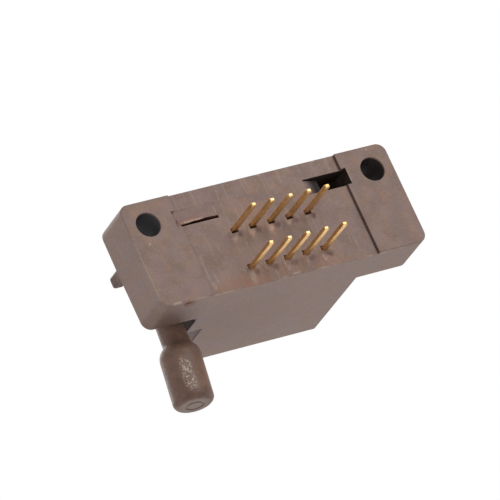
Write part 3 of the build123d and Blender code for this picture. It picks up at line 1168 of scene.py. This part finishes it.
@dataclass(frozen=True)
class Contacts:
    """The ten contacts, each a strip with a domed tip, a foot and a blade bent inside the housing."""

    edge_round: float = 0.06
    round_segments: int = 3
    round_above: float = 40.0
    smooth_angle: float = 31.0
    stations: tuple[Station, ...] = (
        Station(-6.05, 2.54, 0.42, 0.29),
        Station(-6.0, 2.54, 0.53, 0.39),
        Station(-5.9, 2.54, 0.58, 0.44),
        Station(-5.74, 2.54, 0.6, 0.45),
        Station(0.06, 2.54, 0.6, 0.45),
        Station(0.42, 2.54, 0.87, 0.45),
        Station(4.6, 2.54, 0.87, 0.45),
        Station(4.62, 2.54, 1.5, 0.45),
        Station(5.27, 2.54, 1.5, 0.45),
        Station(5.53, 2.5, 1.5, 0.47),
        Station(8.28, 1.59, 1.5, 0.47),
        Station(8.52, 1.53, 1.49, 0.46),
        Station(13.66, 0.644, 1.0, 0.46),
        Station(13.9, 0.654, 1.0, 0.47),
        Station(16.3, 1.47, 1.0, 0.47),
    )

    def model(self, row: Row) -> bpy.types.Object:
        """Model the middle contact of a row by extruding its end from station to station.

        Args:
            row: The row that the contact is in.

        Returns:
            The contact with rounded edges.
        """
        first, second = self.stations[0], self.stations[1]
        half = Vector((first.width, first.thickness, 0.0)) * MM / 2
        rise = Vector((0.0, 0.0, second.height - first.height)) * MM
        tip = self.centre(first, row)
        piece = new_cube(f"{row.name.lower()}_contact", tip - half, tip + half + rise)
        pick_faces(piece, lambda centre, normal: normal.z > FACING)
        self.resize(first, second, self.centre(second, row))
        for previous, station in zip(self.stations[1:], self.stations[2:]):
            step = self.centre(station, row) - self.centre(previous, row)
            bpy.ops.mesh.extrude_region_move(TRANSFORM_OT_translate={"value": step})
            self.resize(previous, station, self.centre(station, row))
        bpy.ops.object.mode_set(mode="OBJECT")
        add_modifier(piece, "BEVEL", width=self.edge_round * MM, segments=self.round_segments,
                     limit_method="ANGLE", angle_limit=math.radians(self.round_above))
        return piece

    def centre(self, station: Station, row: Row) -> Vector:
        """Give a station's centre on the middle contact, in metres."""
        return Vector((0.0, GRID.lead_y + row.value * station.offset, station.height)) * MM

    def resize(self, previous: Station, station: Station, centre: Vector) -> None:
        """Scale the selected end from one station's section to the next's.

        Args:
            previous: The station whose section the end has.
            station: The station whose section it gets.
            centre: The end's centre, in metres.
        """
        width = station.width / previous.width
        thickness = station.thickness / previous.thickness
        bpy.ops.transform.resize(value=(width, thickness, 1.0), center_override=centre)

    def build(self, material: bpy.types.Material) -> None:
        """Model one contact in each row, copy it along the row and dress the copies.

        Args:
            material: The contacts' finish.
        """
        for row in Row:
            original = self.model(row)
            dress(original, material, self.smooth_angle)
            for index in range(GRID.per_row):
                node = f"{row.name.lower()}_contact_{index + 1}"
                shift = (index - (GRID.per_row - 1) / 2) * GRID.pitch * MM
                mesh = original.data.copy()
                mesh.transform(Matrix.Translation((shift, 0.0, 0.0)))
                piece = bpy.data.objects.new(f"plated_{node}", mesh)
                bpy.context.collection.objects.link(piece)
                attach(piece, "base")
                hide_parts(node)
                log.info("%s: %d faces", piece.name, len(mesh.polygons))
            bpy.data.objects.remove(original)


@dataclass(frozen=True)
class Lamp:
    """A square soft lamp that faces the object: its place and side in metres, and its power in watts."""

    name: str
    place: Place
    size: float
    power: float


@dataclass(frozen=True)
class Studio:
    """The floor, the soft lights, the white surround and the camera.

    The aim, the camera's distance, its lens and its sensor are in millimetres, the rest in metres.
    """

    aim: Place = (3.28, -5.36, 2.09)
    distance: float = 761.0
    azimuth: float = 57.83
    elevation: float = -54.41
    roll: float = -141.92
    lens: float = 468.0
    sensor: float = 36.0
    clip: Span = (0.01, 20.0)
    floor_height: float = -0.75
    floor_size: float = 6.0
    floor_colour: Colour = (236, 236, 234)
    floor_roughness: float = 0.9
    surround: float = 0.5
    lamps: tuple[Lamp, ...] = (
        Lamp("key", (-0.26, 0.25, -0.6), 0.4, 1.85),
        Lamp("fill", (-0.1, -0.6, 0.45), 0.4, 1.0),
        Lamp("side", (0.6, -0.1, -0.1), 0.4, 0.4),
        Lamp("top", (0.1, 0.5, 0.7), 0.5, 1.5),
    )

    def build(self) -> None:
        """Build everything round the object."""
        self.build_floor()
        self.build_world()
        for lamp in self.lamps:
            self.build_lamp(lamp)
        self.build_camera()
        bpy.context.scene.view_settings.view_transform = "Standard"

    def build_floor(self) -> None:
        """Lay the pale floor below the object and the camera."""
        deselect()
        bpy.ops.mesh.primitive_plane_add(size=self.floor_size, location=(0.0, 0.0, self.floor_height))
        floor = bpy.context.active_object
        floor.name = "pale_floor"
        material = bpy.data.materials.new("pale_floor")
        material.use_nodes = True
        shader = material.node_tree.nodes["Principled BSDF"]
        shader.inputs["Base Color"].default_value = linear(self.floor_colour)
        shader.inputs["Roughness"].default_value = self.floor_roughness
        floor.data.materials.append(material)

    def build_world(self) -> None:
        """Make the surround white to the eye and to gloss, and softer as a light."""
        world = bpy.data.worlds.new("white_surround")
        world.use_nodes = True
        bpy.context.scene.world = world
        world.node_tree.nodes.clear()
        sketch = Sketch(world.node_tree)
        path = sketch.node("ShaderNodeLightPath")
        seen = sketch.math("MAXIMUM", path.outputs["Is Camera Ray"], path.outputs["Is Glossy Ray"])
        seen = sketch.math("MAXIMUM", seen, path.outputs["Is Transmission Ray"])
        strength = sketch.math("MULTIPLY_ADD", seen, 1.0 - self.surround, self.surround)
        light = sketch.node("ShaderNodeBackground", {"Color": (1.0, 1.0, 1.0, 1.0), "Strength": strength})
        sketch.node("ShaderNodeOutputWorld", {"Surface": light.outputs[0]})

    def build_lamp(self, lamp: Lamp) -> None:
        """Add a lamp that faces the object.

        Args:
            lamp: Its name, place, size and power.
        """
        data = bpy.data.lights.new(lamp.name, "AREA")
        data.size = lamp.size
        data.energy = lamp.power
        hung = bpy.data.objects.new(lamp.name, data)
        hung.location = lamp.place
        hung.rotation_mode = "QUATERNION"
        hung.rotation_quaternion = (Vector(self.aim) * MM - Vector(lamp.place)).to_track_quat("-Z", "Y")
        bpy.context.collection.objects.link(hung)

    def build_camera(self) -> None:
        """Place the camera below the front, on the lever's side, turned as the photograph is."""
        azimuth, elevation = math.radians(self.azimuth), math.radians(self.elevation)
        back = Vector((
            math.sin(azimuth) * math.cos(elevation),
            -math.cos(azimuth) * math.cos(elevation),
            math.sin(elevation),
        ))
        right = Vector((math.cos(azimuth), math.sin(azimuth), 0.0))
        upright = Matrix((right, back.cross(right), back)).transposed()
        turned = upright @ Matrix.Rotation(math.radians(self.roll), 3, "Z")
        data = bpy.data.cameras.new("view")
        data.lens = self.lens
        data.sensor_width = self.sensor
        data.clip_start, data.clip_end = self.clip
        camera = bpy.data.objects.new("view", data)
        middle = Vector(self.aim) * MM
        camera.matrix_world = Matrix.Translation(middle + back * self.distance * MM) @ turned.to_4x4()
        bpy.context.collection.objects.link(camera)
        bpy.context.scene.camera = camera


def dress_shaft(material: bpy.types.Material) -> None:
    """Give the hidden cam shaft, whose shape is right, its finish.

    Args:
        material: The shaft's finish.
    """
    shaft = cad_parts["cam_shaft"]
    shaft.data.materials.clear()
    shaft.data.materials.append(material)
    log.info("cam_shaft: %s", material.name)


def main() -> None:
    """Build the materials, the pieces and the studio."""
    logging.basicConfig(level=logging.INFO, format="%(name)s: %(message)s")
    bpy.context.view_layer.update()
    groups = Groups()
    mouldings = (
        (Moulding("housing", "base", Slot.HOUSING, edge_round=0.09, crisp=HOUSING_CRISP), HOUSING_FINISH),
        (Moulding("top_cover", "base", Slot.COVER, edge_round=0.05), COVER_FINISH),
        (Moulding("lever", "lever_arm", Slot.LEVER, edge_round=0.04), LEVER_FINISH),
    )
    for moulding, finish in mouldings:
        moulding.build(finish.build(groups))
    Wedge().build(WEDGE_FINISH.build(groups))
    Contacts().build(CONTACT_FINISH.build(groups))
    dress_shaft(SHAFT_FINISH.build(groups))
    Studio().build()


if __name__ == "__main__":
    main()
